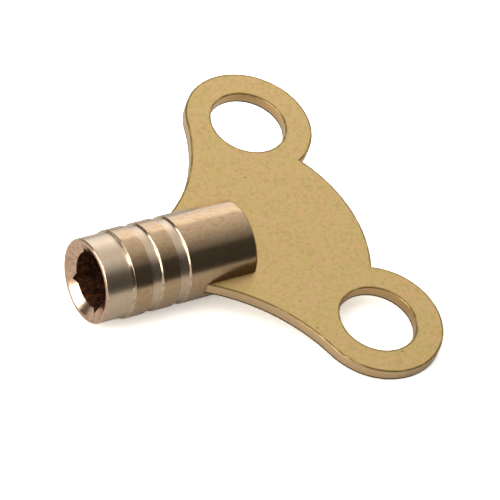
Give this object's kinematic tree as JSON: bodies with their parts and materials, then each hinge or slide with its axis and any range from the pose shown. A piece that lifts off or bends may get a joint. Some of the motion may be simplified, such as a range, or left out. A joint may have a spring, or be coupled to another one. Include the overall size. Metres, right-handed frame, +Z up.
{
  "type": "radiator bleed key",
  "caption": "Brass radiator bleed key: a short ringed barrel with a square socket, slotted over a flat stamped wing handle with a round hole in each ear.",
  "frame": {"origin": "on the table under the middle of the key as it lies: barrel and one ear touching", "axes": "+X from the socket's mouth to the handle, +Y towards the raised ear, +Z up from the table"},
  "size_m": [0.0352, 0.0424, 0.0095],
  "materials": {
    "turned_brass": "turned and drawn, bright",
    "sheet_brass": "satin sheet with sheared edges"
  },
  "bodies": {
    "root": {"socket_barrel": "turned_brass", "wing_plate": "sheet_brass"}
  },
  "joints": []
}
